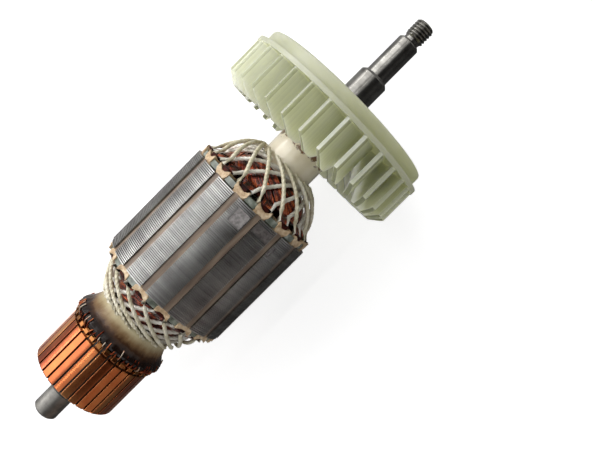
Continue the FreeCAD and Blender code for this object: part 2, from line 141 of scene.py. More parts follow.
def skin(name, loops, caps=True, smooth_below=35):
    """Surface through closed loops of points that face each other, with a face over each end."""
    width = len(loops[0])
    faces = []
    for row in range(len(loops) - 1):
        for i in range(width):
            j = (i + 1) % width
            here, there = row * width, (row + 1) * width
            faces.append((here + i, here + j, there + j, there + i))
    if caps:
        faces.append(tuple(range(width)))
        faces.append(tuple((len(loops) - 1) * width + i for i in range(width)))
    return mesh_object(name, [p for loop in loops for p in loop], faces, smooth_below)


def block(turn, xs, ys, zs):
    """Box between two values each of x, y and z, then turned."""
    (y0, y1), (z0, z1) = ys, zs
    corners = [(y0, z0), (y1, z0), (y1, z1), (y0, z1)]
    return skin("block", [[turn @ Vector((x, y, z)) for y, z in corners] for x in xs], smooth_below=None)


def lathe(name, outline, sides=128):
    """Closed outline of (x, radius) points, turned about the shaft."""
    width = len(outline)
    points = [around(x, r, tau * k / sides) for k in range(sides) for x, r in outline]
    faces = []
    for k in range(sides):
        for i in range(width):
            j = (i + 1) % width
            here, there = k * width, (k + 1) % sides * width
            if outline[i][1] or outline[j][1]:
                faces.append((here + i, here + j, there + j, there + i))
    return mesh_object(name, points, faces, 35)


def finish_mesh(piece):
    """Make the modifiers' result the piece's own plain mesh."""
    graph = bpy.context.evaluated_depsgraph_get()
    mesh = bpy.data.meshes.new_from_object(piece.evaluated_get(graph))
    piece.modifiers.clear()
    piece.data = mesh
    return piece


def modify(piece, kind, **settings):
    """Run one modifier on a piece."""
    modifier = piece.modifiers.new(kind, kind)
    for key, value in settings.items():
        setattr(modifier, key, value)
    return finish_mesh(piece)


def bevel(piece, width, segments=2, angle=30):
    """Round the piece's sharp edges, as tumbling, moulding or wear does."""
    return modify(piece, "BEVEL", width=width, segments=segments, limit_method="ANGLE",
                  angle_limit=math.radians(angle), harden_normals=True)


def cut_or_fuse(piece, tool, operation, material_mode):
    """Cut a tool out of a piece, or fuse it on, and remove the tool."""
    modify(piece, "BOOLEAN", operation=operation, material_mode=material_mode, object=tool)
    bpy.data.objects.remove(tool)


def join(name, pieces):
    """One object from several."""
    with bpy.context.temp_override(active_object=pieces[0], selected_editable_objects=pieces):
        bpy.ops.object.join()
    pieces[0].name = name
    return pieces[0]


def dress(piece, finish):
    """Give a piece one material in place of any that it has."""
    piece.data.materials.clear()
    piece.data.materials.append(finish)
    return piece


# %% [markdown]
# Colours are picked as sRGB hex values, the way an image editor shows them, but a shader works in
# linear light. One function turns the one into the other, and one adds a node to any tree.

# %% Colours and nodes
def colour(code):
    """Linear RGBA of an sRGB hex value such as "#C07A45"."""
    parts = [int(code[i:i + 2], 16) / 255 for i in (1, 3, 5)]
    return tuple(c / 12.92 if c <= 0.04045 else ((c + 0.055) / 1.055) ** 2.4 for c in parts) + (1.0,)


def add(tree, kind, inputs=None, **settings):
    """Add a node. An input is given by its name or number, as a value or as a socket to link."""
    new = tree.nodes.new(kind)
    for key, value in settings.items():
        setattr(new, key, value)
    for key, value in (inputs or {}).items():
        if isinstance(value, bpy.types.NodeSocket):
            tree.links.new(value, new.inputs[key])
        else:
            new.inputs[key].default_value = value
    return new


def material(name, **values):
    """New material, its node tree and its shader, whose uniform values are set on its own sockets."""
    new = bpy.data.materials.new(name)
    new.use_nodes = True
    shader = new.node_tree.nodes["Principled BSDF"]
    for key, value in values.items():
        shader.inputs[key.replace("_", " ")].default_value = value
    return new, new.node_tree, shader


# %% [markdown]
# Every finish below is built from the same few steps: noise in the object's own metres, sums,
# ranges, a colour ramp and a bump. Each step is a small function of its own.

# %% Steps of a finish
def maths(tree, operation, *values):
    """Result of one Math node."""
    return add(tree, "ShaderNodeMath", dict(enumerate(values)), operation=operation).outputs[0]


def vectors(tree, operation, *values):
    """Result of one Vector Math node, which is a number for a dot product."""
    new = add(tree, "ShaderNodeVectorMath", dict(enumerate(values)), operation=operation)
    return new.outputs["Value" if operation == "DOT_PRODUCT" else "Vector"]


def place(tree):
    """Place in the object, in metres."""
    return add(tree, "ShaderNodeTexCoord").outputs["Object"]


def place_x(tree):
    """Place along the shaft, in metres."""
    return add(tree, "ShaderNodeSeparateXYZ", {0: place(tree)}).outputs["X"]


def tone(tree):
    """The random number that the Geometry Nodes trees give each copy, sheet or strand."""
    return add(tree, "ShaderNodeAttribute", attribute_name="tone").outputs["Fac"]


def noise(tree, scale, detail, stretch=None):
    """Cloudy pattern from 0 to 1. Scale is in patches to a metre, or stretch gives it for each axis."""
    spot = place(tree)
    if stretch:
        spot = add(tree, "ShaderNodeMapping", {"Vector": spot, "Scale": stretch}).outputs[0]
    clouds = add(tree, "ShaderNodeTexNoise", {"Vector": spot, "Scale": scale, "Detail": detail})
    return clouds.outputs["Fac"]


def fit(tree, value, low, high, to_low=0.0, to_high=1.0):
    """Value moved from one range to another, and held inside it."""
    numbers = dict(enumerate((value, low, high, to_low, to_high)))
    return add(tree, "ShaderNodeMapRange", numbers).outputs[0]


def ramp(tree, factor, stops):
    """Colour ramp from (position, hex) stops."""
    new = add(tree, "ShaderNodeValToRGB", {0: factor})
    elements = new.color_ramp.elements
    while len(elements) < len(stops):
        elements.new(0.5)
    for element, (position, code) in zip(elements, stops):
        element.position = position
        element.color = colour(code)
    return new.outputs[0]


def blend(tree, factor, first, second):
    """Mix of two colours, each a socket or an RGBA value."""
    return add(tree, "ShaderNodeMix", {0: factor, 6: first, 7: second}, data_type="RGBA").outputs[2]


def paint(tree, shader, base):
    """Link a colour to the shader."""
    tree.links.new(base, shader.inputs["Base Color"])


def bump(tree, shader, strength, depth, height):
    """Raise the surface by a pattern, up to a depth."""
    new = add(tree, "ShaderNodeBump", {"Strength": strength, "Distance": depth, "Height": height})
    tree.links.new(new.outputs[0], shader.inputs["Normal"])


def clouded(name, scale, detail, stops, relief=None, stretch=None, **values):
    """Finish whose colour, and bump if relief gives its strength and depth, come from one noise."""
    new, tree, shader = material(name, **values)
    clouds = noise(tree, scale, detail, stretch)
    paint(tree, shader, ramp(tree, clouds, stops))
    if relief:
        bump(tree, shader, *relief, clouds)
    return new


# %% [markdown]
# ## The camera
# The photograph looks down on the armature, with the shaft running from the lower left to the
# upper right. The camera below was fitted to the ends of the core, fan, commutator and shaft. It
# has a 41.75 mm lens on a 36 mm sensor, and no shift.

# %% Place the camera
camera_place = Vector((-37.97, 0.0, 255.65)) * mm
to_right = Vector((0.70659, -0.70754, 0.01104)).normalized()
to_back = Vector((0.0535, 0.06898, 0.99618)).normalized()
to_up = to_back.cross(to_right).normalized()
to_right = to_up.cross(to_back)
lens = bpy.data.cameras.new("camera")
lens.lens = 41.75
lens.sensor_width = 36.0
lens.clip_start = 0.01
camera = linked("camera", lens)
turn = Matrix((to_right, to_up, to_back)).transposed().to_4x4()
camera.matrix_world = Matrix.Translation(camera_place) @ turn
bpy.context.scene.camera = camera
print("Camera %.0f mm above the shaft" % (camera_place.z / mm))

# %% [markdown]
# ## Floor and light
# The armature is photographed on plain white under soft light from the upper left of the picture,
# which is +Y here. One very large lamp there gives the bright side. It is wide, like a window,
# because metal mirrors its lamps: a small one would be a white spot on every tooth and bar. Two
# narrow tubes, one low and one high, add the thin bright lines on round glossy parts. The world
# fills the shade. The world and the floor look white to the camera and in reflections, at a
# strength of 1, while the light that they give to the object stays moderate.

# %% World and floor
world = bpy.data.worlds.new("studio")
bpy.context.scene.world = world
world.use_nodes = True
tree = world.node_tree
tree.nodes.clear()


def when_seen(tree, unseen, seen):
    """One shader for plain light, and one for what the camera sees, straight or in a reflection."""
    rays = add(tree, "ShaderNodeLightPath").outputs
    bent = maths(tree, "MAXIMUM", rays["Is Glossy Ray"], rays["Is Transmission Ray"])
    direct = maths(tree, "MAXIMUM", rays["Is Camera Ray"], bent)
    parts = {0: direct, 1: unseen.outputs[0], 2: seen.outputs[0]}
    return add(tree, "ShaderNodeMixShader", parts).outputs[0]


fill_strength = 0.38
plain = add(tree, "ShaderNodeBackground", {"Color": colour("#FFFFFF"), "Strength": fill_strength})
white = add(tree, "ShaderNodeBackground", {"Color": colour("#FFFFFF"), "Strength": 1.0})
add(tree, "ShaderNodeOutputWorld", {"Surface": when_seen(tree, plain, white)})


def flat_sheet(name, x0, x1, near, far):
    """Flat sheet between two places along X and two (y, z) places across it."""
    return mesh_object(name, [(x0, *near), (x1, *near), (x1, *far), (x0, *far)], [(0, 1, 2, 3)])


floor_z = cad_box[0][2] - 0.2 * mm
floor = flat_sheet("floor", -2, 2, (-2, floor_z), (2, floor_z))
# White studio paper. A little light of its own keeps it plain white in the picture, under a faint shadow.
paper, tree, shader = material("white_paper", Base_Color=colour("#F4F4F4"), Roughness=0.9)
glow = add(tree, "ShaderNodeEmission", {"Color": colour("#FFFFFF"), "Strength": 0.6})
lift = add(tree, "ShaderNodeAddShader", {0: shader.outputs[0], 1: glow.outputs[0]})
tree.links.new(when_seen(tree, shader, lift), tree.nodes["Material Output"].inputs["Surface"])
dress(floor, paper)
print("Floor %.1f mm below the shaft" % (-floor_z / mm))

# %% [markdown]
# Round metal in an all-white room looks flat, so grey flags hang over the lens and down the right
# side, as a photographer hangs them, and a card lies on the floor. They only show in reflections,
# where they give every bar and tooth its dark side, and take no light from the object. The
# commutator stands at the far left and mirrors the flags' left parts, which are warmer.

# %% Lamps and flags
def lamp(name, spot, size, power):
    """Area lamp that faces the shaft. Its size is its length along X and its width."""
    data = bpy.data.lights.new(name, "AREA")
    data.shape = "RECTANGLE"
    data.size, data.size_y = size
    data.energy = power
    new = linked(name, data)
    new.location = spot
    target = Vector((-0.12, 0.0, 0.0))
    new.rotation_euler = (target - Vector(spot)).to_track_quat("-Z", "Y").to_euler()


lamp("window", (-0.13, 0.515, 0.285), (0.78, 0.60), 3.5)
lamp("low_tube", (-0.125, 0.486, 0.116), (0.75, 0.012), 0.42)
lamp("high_tube", (-0.125, 0.16, 0.48), (0.75, 0.008), 0.22)

card_z = floor_z + 0.1 * mm
lens_edge, top_edge, side_edge, floor_edge = (0.02, 0.42), (-0.30, 0.36), (-0.48, 0.20), (-0.56, card_z)
left_x, warm_x, middle_x, step_x, right_x = -0.80, -0.33, -0.22, -0.02, 0.40
flags = [
    (middle_x, right_x, lens_edge, top_edge, "#464646"),
    (warm_x, middle_x, lens_edge, top_edge, "#543C34"),
    (left_x, warm_x, lens_edge, top_edge, "#868686"),
    (middle_x, right_x, top_edge, side_edge, "#686868"),
    (left_x, middle_x, top_edge, side_edge, "#C4ACA0"),
    (step_x, right_x, side_edge, floor_edge, "#565656"),
    (middle_x, step_x, side_edge, floor_edge, "#F2F2F2"),
    (left_x, middle_x, side_edge, floor_edge, "#C0A89C"),
    (left_x, right_x, floor_edge, (0.0, card_z), "#6A6A6A"),
    (left_x, right_x, (0.0, card_z), (0.50, card_z), "#D8D8D8")]
for x0, x1, near, far, shade in flags:
    panel = flat_sheet("flag", x0, x1, near, far)
    # Dull felt or card. It gives the metal a plain grey to mirror and never shows itself.
    felt = material("flag_felt", Base_Color=colour(shade), Roughness=1.0)[0]
    dress(panel, felt)
    panel.visible_camera = False
    panel.visible_diffuse = False
    panel.visible_shadow = False
bpy.context.scene.view_settings.view_transform = "Standard"
print("Flags and cards:", len(flags))

# %% [markdown]
# ## Geometry Nodes that do the repeating
# Sixteen teeth, thirty blades and thirty-two bars are the same piece turned round the shaft. The
# first tree makes the turned copies of whatever mesh it is given. It also gives each copy a random
# number, its tone, so that a material can make one bar a little darker than the next.

# %% Start, end and run a tree
def new_tree(name, sockets):
    """New Geometry Nodes tree with a geometry input and output, and named inputs for its sizes."""
    new = bpy.data.node_groups.new(name, "GeometryNodeTree")
    new.interface.new_socket("Geometry", in_out="INPUT", socket_type="NodeSocketGeometry")
    new.interface.new_socket("Geometry", in_out="OUTPUT", socket_type="NodeSocketGeometry")
    for socket, kind in sockets + [("Material", "Material")]:
        new.interface.new_socket(socket, in_out="INPUT", socket_type="NodeSocket" + kind)
    return new, add(new, "NodeGroupInput").outputs


def with_tone(tree, geometry, domain, seed):
    """Geometry whose instances or curves each carry a random number, their tone."""
    chance = add(tree, "FunctionNodeRandomValue", {"Seed": seed}, data_type="FLOAT")
    given = {"Geometry": geometry, "Name": "tone", "Value": chance.outputs["Value"]}
    return add(tree, "GeometryNodeStoreNamedAttribute", given, data_type="FLOAT", domain=domain).outputs[0]


def copies_on_line(tree, given, offset, **change):
    """Copies of the given mesh on a line of points, turned or sized, each with a tone of its own."""
    line = add(tree, "GeometryNodeMeshLine", {"Count": given["Count"], "Offset": offset})
    change.update(Points=line.outputs["Mesh"], Instance=given["Geometry"])
    copies = add(tree, "GeometryNodeInstanceOnPoints", change)
    end_tree(tree, given, with_tone(tree, copies.outputs[0], "INSTANCE", given["Seed"]))


def end_tree(tree, given, geometry):
    """Make instances real, set the material and lead the result out of the tree."""
    real = add(tree, "GeometryNodeRealizeInstances", {0: geometry})
    dressed = add(tree, "GeometryNodeSetMaterial",
                  {"Geometry": real.outputs[0], "Material": given["Material"]})
    add(tree, "NodeGroupOutput", {0: dressed.outputs[0]})
    print("Tree:", tree.name, "with", len(tree.nodes), "nodes")


def run_tree(tree, source, name, values):
    """Apply a Geometry Nodes tree to a mesh object, with its inputs by name, as a plain mesh."""
    source.data.materials.append(values["Material"])
    holder = source.modifiers.new(tree.name, "NODES")
    holder.node_group = tree
    for item in tree.interface.items_tree:
        if item.item_type == "SOCKET" and item.in_out == "INPUT" and item.name in values:
            holder[item.identifier] = values[item.name]
    finish_mesh(source)
    source.name = name
    return source


# %% Copies round the shaft
ring_tree, given = new_tree("copies_round_shaft", [
    ("Count", "Int"), ("First Angle", "Float"), ("Seed", "Int")])
number = add(ring_tree, "GeometryNodeInputIndex").outputs[0]
step = maths(ring_tree, "DIVIDE", tau, given["Count"])
angle = maths(ring_tree, "MULTIPLY_ADD", number, step, given["First Angle"])
turning = add(ring_tree, "ShaderNodeCombineXYZ", {"X": angle})
copies_on_line(ring_tree, given, (0, 0, 0), Rotation=turning.outputs[0])


def copies_round(piece, name, count, finish, first=0.0, seed=1):
    """Turned copies of a piece round the shaft, as one mesh."""
    return run_tree(ring_tree, piece, name,
                    {"Count": count, "First Angle": first, "Seed": seed, "Material": finish})


# %% [markdown]
# The second tree lays a strand along every polyline of a mesh. It is used for wires, which are
# plain round, and for lacing cord, whose section has three lobes that turn as they go along, the
# way three yarns are twisted into one. The turn comes from the curve's tilt, worked out from the
# length along it and the real lay of the cord. Every strand gets a random tone of its own.

# %% Strands along paths
strand_tree, given = new_tree("strands_on_paths", [
    ("Radius", "Float"), ("Sides", "Int"), ("Lobe Depth", "Float"), ("Turns Per Metre", "Float")])
yarns = 3
paths = add(strand_tree, "GeometryNodeMeshToCurve", {"Mesh": given["Geometry"]})
length = add(strand_tree, "GeometryNodeSplineParameter").outputs["Length"]
twist = maths(strand_tree, "MULTIPLY", length, given["Turns Per Metre"])
tilted = add(strand_tree, "GeometryNodeSetCurveTilt", {"Curve": paths.outputs[0], "Tilt": twist})
circle = add(strand_tree, "GeometryNodeCurvePrimitiveCircle",
             {"Resolution": given["Sides"], "Radius": given["Radius"]})
share = add(strand_tree, "GeometryNodeSplineParameter").outputs["Factor"]
wave = maths(strand_tree, "COSINE", maths(strand_tree, "MULTIPLY", share, yarns * tau))
grow = maths(strand_tree, "MULTIPLY_ADD", wave, given["Lobe Depth"], 1.0)
spot = add(strand_tree, "GeometryNodeInputPosition").outputs[0]
moved = add(strand_tree, "ShaderNodeVectorMath", {0: spot, "Scale": grow}, operation="SCALE")
section = add(strand_tree, "GeometryNodeSetPosition",
              {"Geometry": circle.outputs[0], "Position": moved.outputs[0]})
toned = with_tone(strand_tree, tilted.outputs[0], "CURVE", 6)
swept = add(strand_tree, "GeometryNodeCurveToMesh",
            {"Curve": toned, "Profile Curve": section.outputs[0], "Fill Caps": True})
rounded = add(strand_tree, "GeometryNodeSetShadeSmooth", {"Geometry": swept.outputs[0]})
end_tree(strand_tree, given, rounded.outputs[0])


def strands(name, routes, diameter, finish, sides=6, lobe_depth=0.0, lay=None):
    """One mesh of round or twisted strands, one along each route of points."""
    points = [tuple(p) for route in routes for p in route]
    edges = []
    start = 0
    for route in routes:
        edges += [(start + i, start + i + 1) for i in range(len(route) - 1)]
        start += len(route)
    mesh = bpy.data.meshes.new(name)
    mesh.from_pydata(points, edges, [])
    turns = tau / lay if lay else 0.0
    return run_tree(strand_tree, linked(name, mesh), name, {
        "Radius": diameter / 2, "Sides": sides, "Lobe Depth": lobe_depth,
        "Turns Per Metre": turns, "Material": finish})


# %% [markdown]
# ## The shaft
# The shaft is medium carbon steel, turned and then ground on its seats. Grinding leaves fine rings
# round it, so the noise in its material is squeezed along X to streaks 0.1 mm wide. A lathe
# outline makes the body. The thread is a skin whose radius rises and falls along a helix, because
# a spun outline would give separate rings.

# %% Ground steel
# Grey metal with sharp reflections, faintly ringed and stained. The rear seat is duller from wear.
steel, tree, shader = material("ground_steel", Metallic=1.0)
fine = noise(tree, 1.0, 4.0, stretch=(10000, 120, 120))
level = maths(tree, "MULTIPLY_ADD", fine, 0.35, noise(tree, 260.0, 5.0))
paint(tree, shader, ramp(tree, level, [(0.3, "#52504C"), (0.62, "#74726E"), (0.95, "#918F8A")]))
bump(tree, shader, 0.25, 0.02 * mm, fine)
dull_until, bright_from = -160 * mm, -150 * mm
dull = fit(tree, place_x(tree), dull_until, bright_from, 0.42, 0.22)
tree.links.new(dull, shader.inputs["Roughness"])

# %% Turned shaft
rear_seat_r, commutator_seat_r, drive_seat_r = 5.0 * mm, 5.5 * mm, 6.0 * mm
pinion_r, relief_r, thread_r = 4.5 * mm, 3.2 * mm, 3.9 * mm
seat_x1, pinion_x1, thread_x0 = 7.4 * mm, 25.0 * mm, 26.3 * mm
chamfer, small_chamfer = 1.0 * mm, 0.8 * mm
shaft = lathe("turned_shaft", [
    (shaft_x0 + 1.8 * mm, 0.0),
    (shaft_x0, 1.2 * mm),
    (shaft_x0, rear_seat_r - chamfer),
    (shaft_x0 + chamfer, rear_seat_r),
    (collar_x0, rear_seat_r),
    (collar_x0, commutator_seat_r),
    (moulding_x1, commutator_seat_r),
    (moulding_x1, body_r),
    (fan_x1, body_r),
    (fan_x1, drive_seat_r),
    (seat_x1 - chamfer, drive_seat_r),
    (seat_x1, drive_seat_r - chamfer),
    (seat_x1, pinion_r),
    (pinion_x1 - small_chamfer, pinion_r),
    (pinion_x1, pinion_r - small_chamfer),
    (pinion_x1, relief_r),
    (thread_x0, relief_r),
    (thread_x0, 0.0),
], sides=96)
bevel(shaft, 0.12 * mm)

# %% Thread
thread_pitch, thread_depth, run_out = 1.25 * mm, 0.68 * mm, 0.7 * mm
rows, sides = 84, 60
loops = []
for row in range(rows + 1):
    x = thread_x0 + (shaft_x1 - thread_x0) * row / rows
    turns_in = min(x - thread_x0, shaft_x1 - x) / thread_pitch
    highest = thread_r - run_out * (1 - min(1.0, 1.6 * turns_in))
    loop = []
    for i in range(sides):
        phase = (x / thread_pitch - i / sides) % 1.0
        ridge = min(1.0, 1.25 * (1 - abs(2 * phase - 1)))
        loop.append(around(x, min(thread_r - thread_depth * (1 - ridge), highest), tau * i / sides))
    loops.append(loop)
shaft = dress(join("turned_shaft", [shaft, skin("thread", loops, smooth_below=60)]), steel)
print("Shaft: %d faces, thread %.2f mm pitch" % (len(shaft.data.polygons), thread_pitch / mm))

# %% [markdown]
# ## The laminated core
# The core is a stack of stamped silicon-steel sheets, 0.5 mm thick, each one insulated from the
# next. Seen from the side they show as fine lines, which are drawn 0.72 mm apart, because closer
# ones would blur to plain grey in the picture. One sheet is drawn, and the next tree stacks it
# with small random changes of size, because stamped sheets never line up exactly. The three
# shallow flats that the balancing machine mills are cut afterwards, as on the real core. The mill
# smears the sheets into one another, so a thin skin of steel closes each flat.

# %% Outline of a toothed disc
tooth_lip = 1.1 * mm
shoulder_drop = 1.2 * mm
slot_mouth = 2.5 * mm
slot_top = 5.9 * mm
slot_bottom = 2.6 * mm
yoke_r = 14.6 * mm
lip_r = core_r - tooth_lip


def toothed_outline(radius, reach, corners, steps=6):
    """Points (radius, angle) of a disc, from a tooth's half angle and one side of a slot's (y, z)."""
    side = [(math.hypot(y, z), math.atan2(y, z)) for y, z in corners]
    outline = []
    for tooth in range(slot_count):
        middle = tooth * slot_pitch
        slot_angle = middle + slot_pitch / 2
        outline += [(radius, middle - reach + 2 * reach * i / steps) for i in range(steps + 1)]
        outline += [(r, slot_angle - a) for r, a in side]
        outline += [(r, slot_angle + a) for r, a in reversed(side)]
    return outline


# %% Stack of sheets
stack_tree, given = new_tree("sheet_stack", [
    ("Count", "Int"), ("Pitch", "Float"), ("Size Error", "Float"), ("Seed", "Int")])
pitch = add(stack_tree, "ShaderNodeCombineXYZ", {"X": given["Pitch"]})
low = maths(stack_tree, "SUBTRACT", 1.0, given["Size Error"])
size = add(stack_tree, "FunctionNodeRandomValue", {"Min": low, "Max": 1.0, "Seed": given["Seed"]},
           data_type="FLOAT").outputs["Value"]
across = add(stack_tree, "ShaderNodeCombineXYZ", {"X": 1.0, "Y": size, "Z": size})
copies_on_line(stack_tree, given, pitch.outputs[0], Scale=across.outputs[0])

# %% Steel of the sheets and of the milled flats
# Satin metal edges, each sheet a little lighter or darker than the next, with a fine stamped grain.
sheet_steel, tree, shader = material("electrical_steel", Metallic=1.0, Roughness=0.36)
level = maths(tree, "MULTIPLY_ADD", tone(tree), 0.35, noise(tree, 150.0, 6.0))
paint(tree, shader, ramp(tree, level, [(0.35, "#7C7978"), (0.6, "#979593"), (0.95, "#B0AFAC")]))
bump(tree, shader, 0.3, 0.03 * mm, noise(tree, 5000.0, 2.0))

# Paler and duller metal, smeared by the mill, which sets the flats off from the lined teeth.
milled = clouded("milled_steel", 900.0, 4.0, [(0.35, "#7A7676"), (0.65, "#A6A2A0")],
                 Metallic=1.0, Roughness=0.5)

# %% Sheets, stacked and milled
sheet_count = round((core_x1 - core_x0) / (0.72 * mm))
sheet_pitch = (core_x1 - core_x0) / sheet_count
sheet_t = 0.64 * sheet_pitch
burr = 0.06 * mm
tooth_reach = slot_pitch / 2 - math.asin(slot_mouth / 2 / core_r)
outline = toothed_outline(core_r, tooth_reach, [
    (slot_mouth / 2, lip_r), (slot_top / 2, lip_r - shoulder_drop), (slot_bottom / 2, yoke_r)])
loops = [[around(core_x0 + x, r - inset, a) for r, a in outline]
         for x, inset in ((0, burr), (burr, 0), (sheet_t - burr, 0), (sheet_t, burr))]
sheet = skin("sheet", loops, smooth_below=None)
core = run_tree(stack_tree, sheet, "lamination_sheets", {
    "Count": sheet_count, "Pitch": sheet_pitch, "Size Error": 0.002, "Seed": 4, "Material": sheet_steel})

flat_r = core_r - 0.55 * mm
tooth_edge = 3.9 * mm
cutters = []
smears = []
# Each flat has a tooth's angle, a shift across it, a width, a distance from the core's end and a length.
for tooth_angle, offset, width, from_end, length in (
        (0.0, 0.95, 5.3, 2.4, 5.8), (22.5, 0.0, 7.4, 1.9, 3.6), (45.0, -3.1, 1.9, 4.6, 4.0)):
    turn = turned(math.radians(tooth_angle))
    x1 = core_x1 - from_end * mm
    xs = (x1 - length * mm, x1)
    y0 = (-width / 2 - offset) * mm
    y1 = y0 + width * mm
    cutters.append(block(turn, xs, (y0, y1), (flat_r, core_r + 2 * mm)))
    smear = block(turn, xs, (y0, min(y1, tooth_edge)), (flat_r - 0.3 * mm, flat_r + 0.01 * mm))
    smears.append(dress(smear, milled))
cutter = join("cutter", cutters)
cutter.data.materials.append(milled)
cut_or_fuse(core, cutter, "DIFFERENCE", "TRANSFER")
core = join("lamination_sheets", [core] + smears)
print("Core: %d sheets, %d faces" % (sheet_count, len(core.data.polygons)))

# %% [markdown]
# ## Insulation of the core
# A moulded board covers each end of the core, with a finger over every tooth. Folded paper lines
# each slot and sticks out as a cuff, and a flat strip closes the mouth. The board's fingers are
# narrow and rounded at their free edge. The cuffs are skins that flare over the corners of the
# fingers and end in a notched, torn edge, drawn from a fixed random seed.

# %% Board, paper and strip
# Grey-green board under a varnish that ran in lumps, so that it glistens unevenly.
board = clouded("grey_green_board", 420.0, 6.0, [(0.35, "#50564C"), (0.52, "#767D72"), (0.7, "#A0A69A")],
                relief=(0.8, 0.25 * mm), Roughness=0.22, Coat_Weight=0.4, Coat_Roughness=0.1)

# Tan paper, mottled where varnish soaked in, and crumpled enough to break its highlights.
slot_paper = clouded("varnished_slot_paper", 700.0, 8.0, [
    (0.3, "#A08260"), (0.5, "#C8AC88"), (0.7, "#E2D0B2")], relief=(0.6, 0.12 * mm), Roughness=0.55)

# Brown pressed strip with long fibres, the dull warm line between the teeth.
strip_paper = clouded("pressed_slot_strip", 1.0, 8.0, [
    (0.3, "#5E4E42"), (0.5, "#7C6A5A"), (0.72, "#9A8874")],
    relief=(0.4, 0.1 * mm), stretch=(90, 500, 500), Roughness=0.5)

# %% End boards with fingers
finger_width = 4.8 * mm
finger_gap = 0.5 * mm
boards = []
for node, side in (("end_insulator_drive", 1), ("end_insulator_rear", -1)):
    x0, x1, board_r = extent(node)
    corners = [(slot_top / 2 + finger_gap, lip_r - shoulder_drop),
               (slot_bottom / 2 + finger_gap, yoke_r - finger_gap)]
    outline = toothed_outline(board_r, math.asin(finger_width / 2 / board_r), corners)
    loops = [[around(x, r, a) for r, a in outline] for x in ((x0, x1) if side > 0 else (x1, x0))]
    piece = dress(skin(node + "_board", loops, smooth_below=30), board)
    boards.append((bevel(piece, 0.8 * mm, segments=3, angle=40), node))
print("End boards:", [len(piece.data.polygons) for piece, node in boards])

# %% Slot strips
strip_half = slot_mouth / 2 - 0.06 * mm
strip_r = lip_r - 0.06 * mm
strip_side = 0.32 * mm
random.seed(7)
pieces = []
for slot in range(slot_count):
    turn = turned((slot + 0.5) * slot_pitch)
    loops = []
    for row in range(25):
        x = core_x0 + (core_x1 - core_x0) * row / 24
        sway = random.uniform(-0.03, 0.03) * mm
        half = strip_half - random.uniform(0.0, 0.12) * mm
        crown = random.uniform(0.0, 0.08) * mm
        section = [(-half, 0.0), (half, 0.0), (half, strip_side), (0.0, strip_side + crown),
                   (-half, strip_side)]
        loops.append([turn @ Vector((x, y + sway, strip_r + z)) for y, z in section])
    pieces.append(skin("strip", loops, smooth_below=40))
strips = dress(join("slot_strips", pieces), strip_paper)
print("Slot strips:", slot_count)

# %% [markdown]
# A cuff's section is half of a keyhole, mirrored: it follows the slot's mouth, its shoulder and
# its narrowing side. Inside the core it fits the slot, and at its free end it has flared.

# %% Paper cuffs
inside_half = [(0.5, 0.0), (0.95, 0.0), (1.19, 0.0), (2.86, -1.2),
               (2.7, -1.8), (2.3, -4.6), (1.85, -7.9), (1.2, -11.0)]
free_half = [(0.8, 0.0), (2.0, 0.1), (3.0, 0.15), (2.75, -0.9),
             (2.6, -1.8), (2.3, -4.6), (1.85, -7.9), (1.2, -11.0)]
notch_half = [0.62, 0.8, 1.0, 0.92, 0.85, 0.8, 0.8, 0.8]
tucked_in = 0.8 * mm
paper_t = 0.35 * mm


def cuff(slot, side, reach, seed):
    """Folded paper that leaves one slot at one end of the core, a little torn at its edge."""
    chance = random.Random(seed)
    turn = turned((slot + 0.5) * slot_pitch)
    face = core_x1 if side > 0 else core_x0
    notch = notch_half + notch_half[::-1]
    tear = [chance.uniform(-0.4, 0.0) * mm for _ in notch]
    bulge = [chance.uniform(-0.16, 0.1) for _ in notch]
    loops = []
    for row in range(7):
        share = row / 6
        spread = min(1.0, 2.2 * share)
        half = [(ya + (yb - ya) * spread, za + (zb - za) * spread)
                for (ya, za), (yb, zb) in zip(inside_half, free_half)]
        section = half + [(-y, z) for y, z in reversed(half)]
        loop = []
        for i, (y, z) in enumerate(section):
            x = face + side * ((reach * notch[i] + tucked_in) * share - tucked_in) + side * tear[i] * share
            loop.append(turn @ Vector((x, y * mm, lip_r - 0.1 * mm + (z + bulge[i] * share) * mm)))
        loops.append(loop)
    piece = skin("cuff", loops, caps=False, smooth_below=50)
    return modify(piece, "SOLIDIFY", thickness=paper_t, offset=-1.0)


liner_x0, liner_x1 = extent("slot_liners")[:2]
pieces = [cuff(slot, 1, liner_x1 - core_x1, slot) for slot in range(slot_count)]
pieces += [cuff(slot, -1, core_x0 - liner_x0, 40 + slot) for slot in range(slot_count)]
cuffs = dress(join("paper_cuffs", pieces), slot_paper)
print("Cuffs:", len(pieces), "with", len(cuffs.data.polygons), "faces")

# %% [markdown]
# ## The winding heads
# Each coil leaves one slot, climbs over the end of the core, and comes down into the slot seven
# teeth on. Its wire is copper with a red-brown enamel. The real wire is 0.6 mm thick, and is drawn
# 0.8 mm thick, because thinner ones would blur into one another. Only the outer coils show between
# the lacing cords, so a dome coloured near black as painted shade stands for the mass inside, and
# bundles of wires run over it. The dome's outline is the CAD head's: an arc from the shoulder at the core
# to the waist.

# %% Shape of a winding head
def head_outline(node, side, waist_r, bulge):
    """Centre and radius of a head's arc, and its end angles, from the shoulder to the waist."""
    x0, x1, _ = extent(node)
    start = Vector((x0 if side > 0 else x1, core_r - 7.4 * mm))
    end = Vector((x1 if side > 0 else x0, waist_r))
    chord = end - start
    normal = Vector((-chord.y, chord.x)).normalized() * side
    half = chord.length / 2
    arc_r = (half * half + bulge * bulge) / (2 * bulge)
    centre = (start + end) / 2 + normal * (bulge - arc_r)
    a0 = math.atan2(start.y - centre.y, start.x - centre.x)
    a1 = math.atan2(end.y - centre.y, end.x - centre.x)
    if a1 - a0 > math.pi:
        a1 -= tau
    if a0 - a1 > math.pi:
        a1 += tau
    return centre, arc_r, a0, a1


